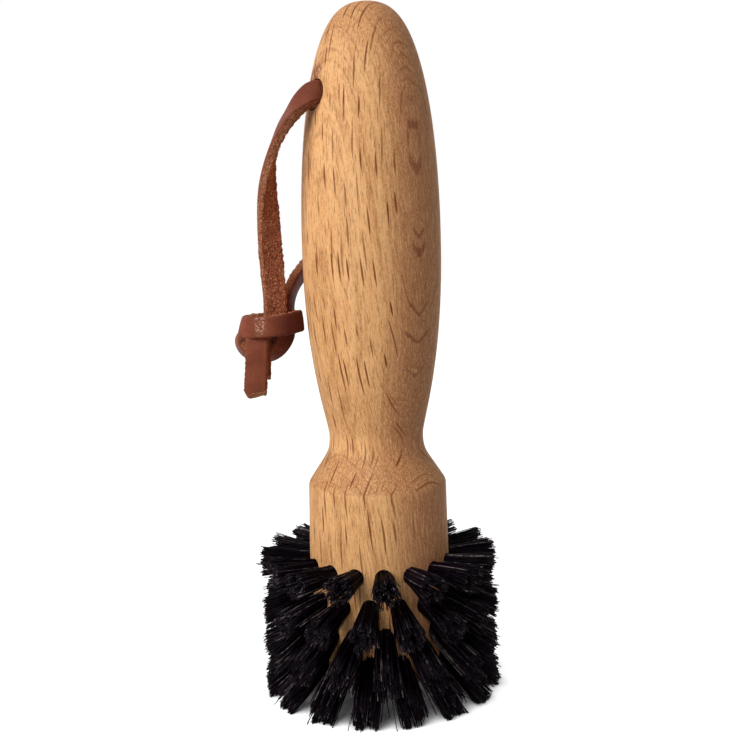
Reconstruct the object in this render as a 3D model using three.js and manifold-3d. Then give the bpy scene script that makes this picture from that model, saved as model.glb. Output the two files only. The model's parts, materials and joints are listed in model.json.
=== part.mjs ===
// Socket brush: a turned beech handle whose head carries four rings of black bristle tufts,
// with a leather strap tied in a loop through a cross bore near the top.
// Millimetres. +Z runs up the handle, the front faces -Y, and the brush stands at z = 0 on its bristles.
import * as THREE from 'three';
import { mergeVertices } from 'three/addons/utils/BufferGeometryUtils.js';
import Module from 'manifold-3d';

const wasm = await Module();
wasm.setup();

// Fits and facets
const clearance = 0.3; // gap between pieces that sit in one another
const weldDistance = 0.0001; // corners closer than this are one corner
const turnedSides = 32; // facets round the turned wood, two to each tuft of a row

// Bristle tufts, set in rows round the head
const rowCount = 4;
const tuftsPerRow = 16;
const rowPitch = 7.3; // between rows, up the head
const fanStep = 11.5; // degrees that each row leans further down than the row above
const firstTuftAngle = 2.5; // degrees from the front, towards +X
const trimRadius = 29; // cylinder that the bristle tips are trimmed to
const holeRadius = 2.1;
const rootDepth = 5.6; // from the wood's surface to the middle of a row's root ring
const rootEnd = 0.8; // how far a tuft's root runs past the middle of its ring
const rootProud = 0.6; // how far the packed root stands out of its hole
const rootSides = 6;
const strandsRound = 5; // strands round the middle one in each tuft
const strandBaseCircle = 0.95;
const strandTipCircle = 2;
const strandRadius = 0.55;
const strandSides = 3;
const floorCut = 0.5; // depth that the floor trims off the lowest strands

// Root rings and anchor wires inside the head
const rootRingThickness = 0.9;
const rootRingHeight = 1;
const anchorThickness = 0.5;
const anchorHeight = 1.6;

// Head and handle, from the bottom up
const headBottomRadius = 18;
const headEdge = 1; // chamfer at the bottom of the head
const headEndMargin = 2.4; // wood below the lowest holes
const collarHeight = 19.9; // bare wood above the top row of tufts
const shoulderRadius = 17.2;
const coneHeight = 5.9;
const coneTopRadius = 13.3;
const coneBlend = 2.2; // how far the cone's line leads into the neck's curve
const neckRise = 11.6; // shoulder to the narrowest place
const neckRadius = 11.7;
const neckLead = 2.5; // upright stretch of the curve below the neck
const barrelRise = 46.5; // neck to the widest place
const barrelLead = 4; // upright stretch of the curve above the neck
const bellyLead = 30; // upright stretch of the curve below the belly
const bellyRadius = 17;
const crownRise = 57.8; // belly to the top
const crownPower = 2.13; // how long the crown stays full
const crownRound = 0.354; // how blunt the top is
const neckSteps = 4;
const barrelSteps = 8;
const crownSteps = 11;

// Leather strap and its bore
const boreBelowTop = 22.15;
const boreRadius = 3.6;
const boreSides = 16;
const boreAngle = 60; // degrees from the front to the left mouth, towards -X
const strapWidth = 5.5;
const strapThickness = 2.2;
const strapCorner = 0.5;
const strapStep = 2.8; // length of strap between two sections
const strapMouthReach = 13; // from the axis to where the free strands start
const mouthTurn = -42; // degrees the strap is turned about the bore at its left mouth
const backTurn = -270; // and at its right mouth
const boreRunPoints = 6;

// Knot: a band round both strands, a loop under it, and two cut ends
const knotBand = new THREE.Vector3(-24.95, -2.4, -53.45); // middle of the band, from the bore's middle
const bandLength = 15.7;
const bandDepth = 9;
const bandRise = -5; // degrees, right end up
const bandLean = 8; // degrees, back up
const bandSegments = 20;

// Heights worked out from the floor
const lastDip = THREE.MathUtils.degToRad(fanStep * (rowCount - 1));
const lastTipReach = (strandTipCircle + strandRadius) / Math.cos(lastDip);
const lastRowHeight = (trimRadius - headBottomRadius) * Math.tan(lastDip) + lastTipReach - floorCut;
const firstRowHeight = lastRowHeight + rowPitch * (rowCount - 1);
const headBottom = lastRowHeight - holeRadius / Math.cos(lastDip) - headEndMargin;
const shoulderHeight = firstRowHeight + collarHeight;
const neckHeight = shoulderHeight + neckRise;
const bellyHeight = neckHeight + barrelRise;
const topHeight = bellyHeight + crownRise;
const boreHeight = topHeight - boreBelowTop;

const beech = new THREE.MeshStandardMaterial({ color: 0xc08a52, roughness: 0.6, metalness: 0 });
const bristle = new THREE.MeshStandardMaterial({ color: 0x14100f, roughness: 0.5, metalness: 0 });
const wire = new THREE.MeshStandardMaterial({ color: 0x9a9a98, roughness: 0.4, metalness: 1 });
const leather = new THREE.MeshStandardMaterial({ color: 0x7a4027, roughness: 0.55, metalness: 0 });

// Closed solid from a closed three.js geometry
function solidOf(geometry) {
  const bare = new THREE.BufferGeometry();
  bare.setAttribute('position', geometry.getAttribute('position'));
  bare.setIndex(geometry.getIndex());
  const merged = mergeVertices(bare, weldDistance);
  const index = merged.getIndex().array;
  const corners = [];
  for (let at = 0; at < index.length; at += 3) {
    const [a, b, c] = [index[at], index[at + 1], index[at + 2]];
    if (a !== b && b !== c && c !== a) {
      corners.push(a, b, c);
    }
  }
  return new wasm.Manifold(new wasm.Mesh({
    numProp: 3,
    vertProperties: new Float32Array(merged.getAttribute('position').array),
    triVerts: new Uint32Array(corners),
  }));
}

function geometryOf(solid) {
  const mesh = solid.getMesh();
  const geometry = new THREE.BufferGeometry();
  geometry.setAttribute('position', new THREE.BufferAttribute(new Float32Array(mesh.vertProperties), 3));
  geometry.setIndex(new THREE.BufferAttribute(new Uint32Array(mesh.triVerts), 1));
  geometry.computeVertexNormals();
  return geometry;
}

function joined(solids) {
  return solids.reduce((whole, solid) => whole.add(solid));
}

function part(name, solid, material) {
  const mesh = new THREE.Mesh(geometryOf(solid), material);
  mesh.name = name;
  return mesh;
}

// Solid turned about Z from an outline of [radius, height] points, with a corner at startAngle degrees
function turned(outline, sides, startAngle) {
  const points = outline.map(([radius, height]) => new THREE.Vector2(radius, height));
  const geometry = new THREE.LatheGeometry(points, sides, THREE.MathUtils.degToRad(startAngle));
  return solidOf(geometry.rotateX(Math.PI / 2));
}

// Ring with a corner in each tuft of its row
function rowRing(plan, innerRadius, outerRadius, height) {
  const [low, high] = [plan.rootHeight - height / 2, plan.rootHeight + height / 2];
  const outline = [[innerRadius, low], [outerRadius, low], [outerRadius, high], [innerRadius, high]];
  return turned([...outline, outline[0]], tuftsPerRow, plan.startAngle);
}

// Corners of an even-sided section, one of them along +Y
function sectionCorners(radius, sides, middle = new THREE.Vector2()) {
  return Array.from({ length: sides }, (_, corner) => {
    const angle = Math.PI / 2 + (2 * Math.PI * corner) / sides;
    return new THREE.Vector2(Math.cos(angle), Math.sin(angle)).multiplyScalar(radius).add(middle);
  });
}

// Straight rod along a frame's Z
function rod(frame, radius, sides, low, high) {
  const section = new THREE.Shape(sectionCorners(radius, sides));
  const geometry = new THREE.ExtrudeGeometry(section, { depth: high - low, bevelEnabled: false });
  return solidOf(geometry.translate(0, 0, low).applyMatrix4(frame));
}

// Direction in the floor plane, by degrees from the front towards +X
function floorDirection(degrees) {
  const angle = THREE.MathUtils.degToRad(degrees);
  return new THREE.Vector3(Math.sin(angle), -Math.cos(angle), 0);
}

// Frame whose Z points away from the handle's axis, down by dip, and whose Y is below it
function outwardFrame(degrees, dip, radius, height) {
  const out = floorDirection(degrees);
  const axis = out.clone().multiplyScalar(Math.cos(dip)).setZ(-Math.sin(dip));
  const side = new THREE.Vector3(out.y, -out.x, 0);
  const below = new THREE.Vector3().crossVectors(axis, side);
  const place = out.multiplyScalar(radius).setZ(height);
  return new THREE.Matrix4().makeBasis(side, below, axis).setPosition(place);
}

// Head and handle
function headRadius(height) {
  const share = (height - headBottom) / (shoulderHeight - headBottom);
  return THREE.MathUtils.lerp(headBottomRadius, shoulderRadius, share);
}

function handleOutline() {
  const shoulder = new THREE.Vector2(shoulderRadius, shoulderHeight);
  const coneTop = new THREE.Vector2(coneTopRadius, shoulderHeight + coneHeight);
  const coneLine = new THREE.Vector2().subVectors(coneTop, shoulder).normalize();
  const neckCurve = new THREE.CubicBezierCurve(
    coneTop,
    coneTop.clone().addScaledVector(coneLine, coneBlend),
    new THREE.Vector2(neckRadius, neckHeight - neckLead),
    new THREE.Vector2(neckRadius, neckHeight),
  );
  const barrelCurve = new THREE.CubicBezierCurve(
    new THREE.Vector2(neckRadius, neckHeight),
    new THREE.Vector2(neckRadius, neckHeight + barrelLead),
    new THREE.Vector2(bellyRadius, bellyHeight - bellyLead),
    new THREE.Vector2(bellyRadius, bellyHeight),
  );
  const outline = [[0, headBottom], [headBottomRadius - headEdge, headBottom]];
  outline.push([headBottomRadius, headBottom + headEdge], shoulder.toArray());
  neckCurve.getPoints(neckSteps).forEach((point) => outline.push(point.toArray()));
  barrelCurve.getPoints(barrelSteps).slice(1).forEach((point) => outline.push(point.toArray()));
  for (let step = 1; step < crownSteps; step += 1) {
    const rise = Math.sin((Math.PI / 2) * (step / crownSteps));
    outline.push([bellyRadius * (1 - rise ** crownPower) ** crownRound, bellyHeight + crownRise * rise]);
  }
  return [...outline, [0, topHeight]];
}

// One row of tufts: where its holes lie and how they lean
function rowPlan(row) {
  const dip = THREE.MathUtils.degToRad(fanStep * row);
  const height = firstRowHeight - rowPitch * row;
  const radius = headRadius(height);
  const halfPitch = 180 / tuftsPerRow;
  const rootRadius = radius - rootDepth * Math.cos(dip);
  const anchorGap = clearance / Math.cos(dip) + (anchorHeight / 2) * Math.tan(dip);
  return {
    dip,
    height,
    radius,
    startAngle: firstTuftAngle - (row % 2) * halfPitch,
    rootRadius,
    rootHeight: height + rootDepth * Math.sin(dip),
    anchorRadius: rootRadius - rootEnd / Math.cos(dip) - anchorGap,
    length: (trimRadius - radius) / Math.cos(dip),
  };
}

// Frame of each hole of a row, at the wood's surface
function holeFrames(plan) {
  return Array.from({ length: tuftsPerRow }, (_, tuft) => {
    const degrees = plan.startAngle + (360 / tuftsPerRow) * tuft;
    return outwardFrame(degrees, plan.dip, plan.radius, plan.height);
  });
}

function rowCut(plan) {
  const inner = plan.anchorRadius - anchorThickness - clearance;
  const outer = plan.rootRadius + rootRingThickness / 2 + clearance;
  const groove = rowRing(plan, inner, outer, Math.max(rootRingHeight, anchorHeight) + 2 * clearance);
  const depth = rootDepth + rootEnd + clearance;
  const holes = holeFrames(plan).map((frame) => rod(frame, holeRadius, rootSides, -depth, holeRadius));
  return joined([groove, ...holes]);
}

function handleSolid() {
  const wood = turned(handleOutline(), turnedSides, firstTuftAngle + 180 / turnedSides);
  const boreFrame = outwardFrame(-boreAngle, 0, 0, boreHeight);
  const cuts = [rod(boreFrame, boreRadius, boreSides, -bellyRadius, bellyRadius)];
  for (let row = 0; row < rowCount; row += 1) {
    cuts.push(rowCut(rowPlan(row)));
  }
  return wood.subtract(joined(cuts));
}

// Skin between two outlines that lie one above the other
function wall(low, high) {
  return low.flatMap((corner, index) => {
    const next = (index + 1) % low.length;
    return [corner, low[next], high[next], corner, high[next], high[index]];
  });
}

// Flat skin over an outline, with holes in it
function lid(outline, holes = []) {
  const points = [outline, ...holes].flat();
  return THREE.ShapeUtils.triangulateShape(outline, holes).flat().map((index) => points[index]);
}

function raised(points, height) {
  return points.map((point) => new THREE.Vector3(point.x, point.y, height));
}

// One tuft: a packed root, and strands that spread from its top and are cut upright at the trim cylinder
function tuftSolid(frame, plan) {
  const root = sectionCorners(holeRadius - clearance, rootSides);
  const directions = [new THREE.Vector2(), ...sectionCorners(1, strandsRound)];
  const ends = (circle) => directions.map((direction) => (
    sectionCorners(strandRadius, strandSides, direction.clone().multiplyScalar(circle))
  ));
  const feet = ends(strandBaseCircle);
  const tips = ends(strandTipCircle);
  const trimmed = (points) => points.map((point) => (
    new THREE.Vector3(point.x, point.y, plan.length + point.y * Math.tan(plan.dip))
  ));
  const bottom = -rootDepth - rootEnd;
  const skin = wall(raised(root, bottom), raised(root, rootProud));
  skin.push(...raised(lid(root), bottom).reverse(), ...raised(lid(root, feet), rootProud));
  feet.forEach((foot, index) => {
    skin.push(...wall(raised(foot, rootProud), trimmed(tips[index])));
    skin.push(...trimmed(lid(tips[index])));
  });
  return solidOf(new THREE.BufferGeometry().setFromPoints(skin).applyMatrix4(frame));
}

function aboveFloor(solid) {
  const reach = 2 * trimRadius;
  const slab = new THREE.BoxGeometry(2 * reach, 2 * reach, reach).translate(0, 0, -reach / 2);
  return solid.subtract(solidOf(slab));
}

function bristleRowSolid(plan) {
  const inner = plan.rootRadius - rootRingThickness / 2;
  const ring = rowRing(plan, inner, inner + rootRingThickness, rootRingHeight);
  const tufts = holeFrames(plan).map((frame) => tuftSolid(frame, plan));
  return aboveFloor(joined([ring, ...tufts]));
}

// Flat wire that holds the folded tufts of a row at the bottom of their holes
function anchorSolid(plan) {
  return rowRing(plan, plan.anchorRadius - anchorThickness, plan.anchorRadius, anchorHeight);
}

// Centre line of a flat strap, which also says how the strap is turned at each point
class StrapLine extends THREE.CatmullRomCurve3 {
  constructor(route) {
    super(route.map(([place]) => new THREE.Vector3(...place)));
    this.across = new THREE.CatmullRomCurve3(route.map(([, across]) => new THREE.Vector3(...across)));
  }

  computeFrenetFrames(steps) {
    const frames = { tangents: [], normals: [], binormals: [] };
    for (let step = 0; step <= steps; step += 1) {
      const tangent = this.getTangentAt(step / steps);
      const across = this.across.getPoint(this.getUtoTmapping(step / steps));
      const binormal = new THREE.Vector3().crossVectors(tangent, across).normalize();
      frames.tangents.push(tangent);
      frames.normals.push(new THREE.Vector3().crossVectors(binormal, tangent));
      frames.binormals.push(binormal);
    }
    return frames;
  }
}

function strapSection() {
  const halfWidth = strapWidth / 2;
  const halfThickness = strapThickness / 2;
  const corners = [];
  for (const [x, y] of [[1, 1], [-1, 1], [-1, -1], [1, -1]]) {
    const side = new THREE.Vector2(x * halfWidth, y * (halfThickness - strapCorner));
    const face = new THREE.Vector2(x * (halfWidth - strapCorner), y * halfThickness);
    corners.push(...(x === y ? [side, face] : [face, side]));
  }
  return new THREE.Shape(corners);
}

function strapSolid(route) {
  const extrudePath = new StrapLine(route);
  const steps = Math.ceil(extrudePath.getLength() / strapStep);
  return solidOf(new THREE.ExtrudeGeometry(strapSection(), { extrudePath, steps }));
}

// Routes, from the bore's middle: each point's place, then the direction across the strap there
const frontRoute = [
  [[-11.26, -6.5, 0], [0.37, -0.64, -0.67]],
  [[-12.5, -7.2, -0.05], [0.39, -0.66, -0.64]],
  [[-14, -8, -0.68], [0.48, -0.74, -0.46]],
  [[-15.75, -8.35, -2.3], [0.45, -0.83, -0.33]],
  [[-17.75, -8.6, -4.5], [0.38, -0.89, -0.25]],
  [[-19.75, -8.75, -7.3], [0.29, -0.95, -0.14]],
  [[-21.75, -8.8, -11.1], [0.14, -0.99, -0.05]],
  [[-23.2, -8.5, -15.2], [-0.02, -1, 0]],
  [[-24, -7.9, -19.5], [-0.3, -0.95, 0]],
  [[-24.4, -7, -23.95], [-0.56, -0.83, 0]],
  [[-24.4, -6, -28.65], [-0.78, -0.62, 0]],
  [[-24.4, -5, -33.35], [-0.86, -0.52, 0]],
  [[-24.3, -4, -38.05], [-0.87, -0.5, 0]],
  [[-24.1, -3.5, -42.95], [-0.88, -0.47, 0]],
  [[-23.9, -3.2, -46.85], [-0.9, -0.44, 0]],
  [[-23.9, -3.2, -49.65], [-0.9, -0.44, 0]],
];
const rearRoute = [
  [[11.26, 6.5, 0], [0, 0, 1]],
  [[12.3, 7.15, 0], [0, 0, 1]],
  [[13, 8.3, -0.15], [-0.02, 0.05, 1]],
  [[13.1, 10.2, -0.41], [-0.16, 0.35, 0.92]],
  [[11.75, 12.15, -1.24], [-0.45, 0.45, 0.77]],
  [[10.25, 13.7, -3.12], [-0.61, 0.46, 0.64]],
  [[8.75, 15.2, -5.9], [-0.71, 0.42, 0.56]],
  [[6.85, 16.5, -9.5], [-0.78, 0.33, 0.53]],
  [[4.55, 17.55, -13.6], [-0.83, 0.21, 0.52]],
  [[1.95, 18.3, -18.1], [-0.84, 0.09, 0.53]],
  [[-0.8, 18.6, -22.4], [-0.82, -0.04, 0.57]],
  [[-3.9, 18.4, -26.5], [-0.73, -0.15, 0.66]],
  [[-7.8, 17.35, -30.1], [-0.6, -0.33, 0.72]],
  [[-11.5, 15.35, -33.7], [-0.38, -0.57, 0.72]],
  [[-14.7, 12.6, -37.4], [-0.12, -0.73, 0.67]],
  [[-17.2, 9.3, -40.7], [0.06, -0.77, 0.63]],
  [[-19.05, 6, -43.2], [0.04, -0.75, 0.66]],
  [[-20.3, 3.2, -45.85], [-0.05, -0.77, 0.63]],
  [[-21, 1, -48.6], [-0.2, -0.85, 0.5]],
];
const loopRoute = [
  [[-31, -0.6, -54.95], [0.28, -0.96, 0]],
  [[-32.9, -0.6, -57.55], [0.28, -0.96, 0.1]],
  [[-32, -0.6, -59.95], [0.25, -0.93, 0.25]],
  [[-29.9, -0.6, -61.3], [0.1, -0.92, 0.4]],
  [[-27.5, -0.6, -61.6], [0, -0.9, 0.44]],
  [[-25.2, -0.6, -60.85], [-0.35, -0.85, 0.4]],
  [[-23.4, -0.6, -59.2], [-0.6, -0.76, 0.25]],
  [[-22.2, -0.6, -56.95], [-0.74, -0.67, 0]],
  [[-21.9, -0.6, -54.55], [-0.74, -0.67, 0]],
];
const longTailRoute = [
  [[-28.2, -4.6, -54.85], [1, 0, 0]],
  [[-28.4, -5.4, -59.35], [1, 0, 0]],
  [[-28.6, -5.5, -64.85], [1, 0, 0]],
  [[-28.9, -5.5, -70.35], [1, 0, 0]],
];
const shortTailRoute = [
  [[-28, -3, -54.85], [1, 0, 0]],
  [[-28.15, -3.1, -60.35], [1, 0, 0]],
  [[-28.35, -3.1, -66.3], [1, 0, 0]],
];

// Stretch inside the bore, where the strap turns over
function boreRoute() {
  const reach = strapMouthReach - clearance;
  const level = floorDirection(90 - boreAngle);
  return Array.from({ length: boreRunPoints }, (_, index) => {
    const share = index / (boreRunPoints - 1);
    const turn = THREE.MathUtils.degToRad(THREE.MathUtils.lerp(mouthTurn, backTurn, share));
    const place = floorDirection(-boreAngle).multiplyScalar(reach * (1 - 2 * share));
    return [place.toArray(), level.clone().multiplyScalar(Math.cos(turn)).setZ(Math.sin(turn)).toArray()];
  });
}

function knotSolid() {
  const outline = new THREE.Shape().absellipse(0, 0, bandLength / 2, bandDepth / 2, 0, 2 * Math.PI);
  const band = new THREE.ExtrudeGeometry(outline, {
    depth: strapWidth, bevelEnabled: false, curveSegments: bandSegments,
  });
  band.translate(0, 0, -strapWidth / 2);
  band.rotateX(THREE.MathUtils.degToRad(bandLean));
  band.rotateY(THREE.MathUtils.degToRad(bandRise));
  band.translate(...knotBand.toArray());
  const strips = [loopRoute, longTailRoute, shortTailRoute].map(strapSolid);
  return joined([solidOf(band), ...strips]);
}

const brush = new THREE.Group();
brush.add(part('handle', handleSolid(), beech));
for (let row = 0; row < rowCount; row += 1) {
  const plan = rowPlan(row);
  brush.add(part(`bristle_row_${row + 1}`, bristleRowSolid(plan), bristle));
  brush.add(part(`anchor_wire_${row + 1}`, anchorSolid(plan), wire));
}

const strap = new THREE.Group();
strap.position.z = boreHeight;
strap.add(part('strap_bore_run', strapSolid(boreRoute()), leather));
strap.add(part('strap_front_strand', strapSolid(frontRoute), leather));
strap.add(part('strap_rear_strand', strapSolid(rearRoute), leather));
strap.add(part('strap_knot', knotSolid(), leather));
brush.add(strap);

export default brush;
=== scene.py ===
"""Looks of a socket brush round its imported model: a turned beech handle, rings of bristle tufts
and a knotted leather strap. Lengths here are in millimetres and become metres in each mesh."""

import json
import math

import bpy
import numpy as np
from mathutils import Matrix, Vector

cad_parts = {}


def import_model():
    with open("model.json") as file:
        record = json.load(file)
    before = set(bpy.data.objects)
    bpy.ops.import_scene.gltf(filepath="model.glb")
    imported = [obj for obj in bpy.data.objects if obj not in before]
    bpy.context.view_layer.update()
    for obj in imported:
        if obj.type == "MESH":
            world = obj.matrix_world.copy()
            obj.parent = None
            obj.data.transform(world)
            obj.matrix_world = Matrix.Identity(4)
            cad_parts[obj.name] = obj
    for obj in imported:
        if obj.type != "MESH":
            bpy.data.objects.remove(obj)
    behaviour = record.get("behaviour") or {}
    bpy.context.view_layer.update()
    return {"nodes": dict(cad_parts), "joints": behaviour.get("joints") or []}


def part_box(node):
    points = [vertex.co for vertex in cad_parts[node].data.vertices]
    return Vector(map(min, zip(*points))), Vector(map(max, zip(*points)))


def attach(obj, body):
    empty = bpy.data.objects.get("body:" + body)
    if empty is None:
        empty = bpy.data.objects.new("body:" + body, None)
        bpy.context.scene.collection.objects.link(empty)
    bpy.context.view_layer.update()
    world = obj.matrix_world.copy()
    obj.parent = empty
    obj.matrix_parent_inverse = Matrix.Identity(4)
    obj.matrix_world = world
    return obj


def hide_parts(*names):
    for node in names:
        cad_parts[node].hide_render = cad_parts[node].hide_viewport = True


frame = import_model()

MM = 0.001
RIGHT = (1, 0, 0)
BACK = (0, 1, 0)
UP = (0, 0, 1)
rng = np.random.default_rng(seed=58)

# Handle, from the bottom up
HEAD_BOTTOM_RADIUS = 18.0
HEAD_EDGE = 1.0
SHOULDER_RADIUS = 17.2
SHOULDER_ROUND = 0.8
CONE_HEIGHT = 5.9
CONE_TOP_RADIUS = 13.3
CONE_BLEND = 2.2
NECK_RISE = 11.6
NECK_RADIUS = 11.7
NECK_LEAD = 2.5
BARREL_RISE = 46.5
BARREL_LEAD = 4.0
BELLY_LEAD = 30.0
BELLY_RADIUS = 17.0
CROWN_RISE = 57.8
CROWN_POWER = 2.13
CROWN_ROUND = 0.354
TURNED_SIDES = 256
TURNED_STEP = 0.8
ROUND_STEPS = 6
NECK_STEPS = 16
BARREL_STEPS = 50
CROWN_STEPS = 60

# Holes; a mouth is how much wider than its hole it is, and where
HOLE_RADIUS = 2.1
HOLE_DEPTH = 5.0
HOLE_MOUTH = ((0.0, -0.3), (0.08, -0.05), (0.4, 0.4), (0.4, 2.0))
HOLE_SIDES = 32
BORE_RADIUS = 3.6
BORE_ANGLE = 60.0
BORE_MOUTH = ((0.0, 13.2), (0.1, 14.0), (0.2, 15.2), (0.2, BELLY_RADIUS))
BORE_SIDES = 64

# Tufts, some values for each of the four rows
ROW_COUNT = 4
TUFTS_PER_ROW = 16
ROW_PITCH = 7.3
FAN_STEP = 11.5
FIRST_TUFT_ANGLE = 2.5
HEAD_END_MARGIN = 2.4
ROW_ROOT_RADIUS = (2.05, 2.1, 2.35, 2.6)
ROW_DROOP = (0.0, 0.9, 1.8, 0.4)
ROW_SPREAD_POWER = (1.1, 1.05, 0.75, 0.55)
SPREAD_RADIUS = 3.6
TUFT_LEAN = 0.28
CLUMPS_PER_TUFT = 14
CLUMP_DRAW = 0.28
TIP_SCATTER = 0.2
TRIM_RADIUS = 29.0
TUFT_TRIM_SCATTER = 0.2
TRIM_SCATTER = 0.25
SHORT_SHARE = 0.08
SHORT_BY = (0.5, 2.5)
STRAY_SHARE = 0.025
STRAY_SCATTER = 1.1
STRAY_EXTRA = 1.2

# Strands, whose tones are places in BRISTLE_TONES
STRANDS_PER_TUFT = 250
STRAND_RADIUS = 0.15
STRAND_THICKNESS = (0.8, 1.15)
STRAND_TIP_THICKNESS = 0.82
STRAND_SUNK = 4.0
STRAND_BEND = 0.16
STRAND_RINGS = (0.0, 0.34, 0.68, 1.0)
STRAND_SIDES = 3
DARK_TONES = (0.0, 0.84)
CLUMP_TONE_SCATTER = 0.1
STRAY_TONE = 0.15
# Painted glints: a share of the strands takes pale tones that stand in for highlights
PAINTED_GLINT_SHARE = 0.08
PAINTED_GLINT_TONES = (0.86, 1.0)

# Strap
STRAP_WIDTH = 5.5
STRAP_THICKNESS = 2.2
STRAP_STEP = 0.3
ROUTE_STEPS = 24
GRAIN_ROUND = 0.5
GRAIN_DOME = 0.08
FLESH_ROUND = 0.2
ROUND_ANGLES = (0, 30, 60, 90)
EDGE_CORNERS = 4
FACE_CORNERS = 13
RAGGED_STEP = 0.09
RAGGED_WEIGHTS = (0.25, 0.5, 0.25)
RAGGED_LEVEL = 0.61
WAVE_DEPTH = 0.02
WAVE_LENGTH = 3.7
WAVE_STARTS = (0, 6)
PRESSED_WIDTH = 0.22
PRESSED_FRONT = (5, 9)
PRESSED_REAR = (10, 13)
CUT_REACH = 4.0
CUT_RAGGED_STEP = 0.08
CUT_BEVEL = 0.7
BAND_DROP = 53.75

# Loose fibres of the leather
FIBRE_RADIUS = 0.045
FIBRE_ANGLES = (0, 120, 240)
FIBRE_SUNK = 0.05
FIBRE_LENGTH_GAMMA = (4.0, 0.09)
FIBRE_RISE = (0.3, 1.0)
FIBRE_LEAN = 0.8
FIBRE_SCATTER = 0.45

# Heights taken from the frame
head_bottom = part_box("handle")[0].z / MM
top_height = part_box("handle")[1].z / MM
bore_height = frame["joints"][0]["pos_m"][2] / MM
band_height = bore_height - BAND_DROP
belly_height = top_height - CROWN_RISE
neck_height = belly_height - BARREL_RISE
shoulder_height = neck_height - NECK_RISE
last_dip = math.radians(FAN_STEP * (ROW_COUNT - 1))
last_row_height = head_bottom + HEAD_END_MARGIN + HOLE_RADIUS / math.cos(last_dip)
first_row_height = last_row_height + ROW_PITCH * (ROW_COUNT - 1)


# Materials. A step has its start, its end and its share. A range has where it starts and ends and
# what it gives there. A size is in millimetres along three directions.

class Nodes:
    """The node tree of a material or of the world, with short calls for the nodes used here."""

    def __init__(self, owner):
        self.owner = owner
        owner.use_nodes = True
        self.tree = owner.node_tree

    def fill(self, node, inputs):
        for key, value in inputs.items():
            if isinstance(value, bpy.types.NodeSocket):
                self.tree.links.new(value, node.inputs[key])
            else:
                node.inputs[key].default_value = value
        return node

    def node(self, kind, inputs=None, **settings):
        node = self.tree.nodes.new("ShaderNode" + kind)
        for key, value in settings.items():
            setattr(node, key, value)
        return self.fill(node, inputs or {})

    def place(self):
        return self.node("TexCoord").outputs["Object"]

    def dot(self, vector, direction):
        return self.node("VectorMath", {0: vector, 1: direction}, operation="DOT_PRODUCT").outputs["Value"]

    def along(self, direction):
        """Millimetres along a direction."""
        return self.dot(self.place(), tuple(part / MM for part in direction))

    def math(self, operation, first, second=0.0):
        return self.node("Math", {0: first, 1: second}, operation=operation).outputs[0]

    def plus(self, first, second):
        return self.math("ADD", first, second)

    def minus(self, first, second):
        return self.math("SUBTRACT", first, second)

    def times(self, first, *others):
        for other in others:
            first = self.math("MULTIPLY", first, other)
        return first

    def square(self, value):
        return self.math("POWER", value, 2.0)

    def root(self, value):
        return self.math("SQRT", value)

    def size(self, value):
        return self.math("ABSOLUTE", value)

    def vector(self, x, y, z):
        return self.node("CombineXYZ", {0: x, 1: y, 2: z}).outputs[0]

    def scaled(self, place, sizes):
        return self.vector(*(self.math("DIVIDE", part, size) for part, size in zip(place, sizes)))

    def noise(self, place, sizes=None, scale=1.0, detail=2.0, roughness=0.5):
        """Noise at a place, or at its three parts with a size for each."""
        vector = self.scaled(place, sizes) if sizes else place
        inputs = {"Vector": vector, "Scale": scale, "Detail": detail, "Roughness": roughness}
        return self.node("TexNoise", inputs).outputs[0]

    def cells(self, vector, dimensions, scale=1.0, randomness=1.0):
        inputs = {"Vector": vector, "Scale": scale, "Randomness": randomness}
        return self.node("TexVoronoi", inputs, voronoi_dimensions=dimensions, feature="F1")

    def step(self, value, start, end, share=1.0):
        """Smooth step from 0 at the start to the share at the end."""
        inputs = {"Value": value, "From Min": start, "From Max": end, "To Max": share}
        return self.node("MapRange", inputs, interpolation_type="SMOOTHSTEP").outputs[0]

    def range(self, value, start, end, first, last):
        """Straight from first at the start to last at the end."""
        inputs = {"Value": value, "From Min": start, "From Max": end, "To Min": first, "To Max": last}
        return self.node("MapRange", inputs).outputs[0]

    def spread(self, value, first, last):
        """Straight from first at 0 to last at 1."""
        return self.range(value, 0.0, 1.0, first, last)

    def mix(self, factor, first, second):
        return self.node("Mix", {0: factor, 6: first, 7: second}, data_type="RGBA").outputs[2]

    def bump(self, height, strength, distance):
        inputs = {"Height": height, "Strength": strength, "Distance": distance * MM}
        return self.node("Bump", inputs).outputs[0]

    def surface(self):
        return self.tree.nodes["Principled BSDF"]

    def finish(self, **inputs):
        self.fill(self.surface(), {key.replace("_", " "): value for key, value in inputs.items()})
        return self.owner


def new_material(name):
    return Nodes(bpy.data.materials.new(name))


# Beech colours
BEECH_PALE = (0.9, 0.53, 0.235, 1)
BEECH_LIGHT = (0.87, 0.468, 0.2, 1)
BEECH_WARM = (0.73, 0.358, 0.14, 1)
# Painted shade: the darker red laid on the side turned from the key light
BEECH_SHADE_RED = (0.435, 0.148, 0.073, 1)
BEECH_RING = (0.42, 0.165, 0.048, 1)
BEECH_FLECK = (0.17, 0.036, 0.003, 1)
BEECH_FLAKE = (0.24, 0.062, 0.026, 1)
BEECH_END = (0.385, 0.155, 0.06, 1)
BEECH_TORN = (0.2, 0.058, 0.027, 1)

# Lie of the wood: where its rays and rings face, and how its grain leans and sways
RAY_AZIMUTH = math.radians(46)
RING_AZIMUTH = math.radians(-46)
FLAKE_AZIMUTH = math.radians(40)
GRAIN_LEAN = 0.07
SWAY_SIZE = (16, 16, 30)
RAY_SWAY = (-1.2, 1.2)
RING_SWAY = (1.6, -1.6)

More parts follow.
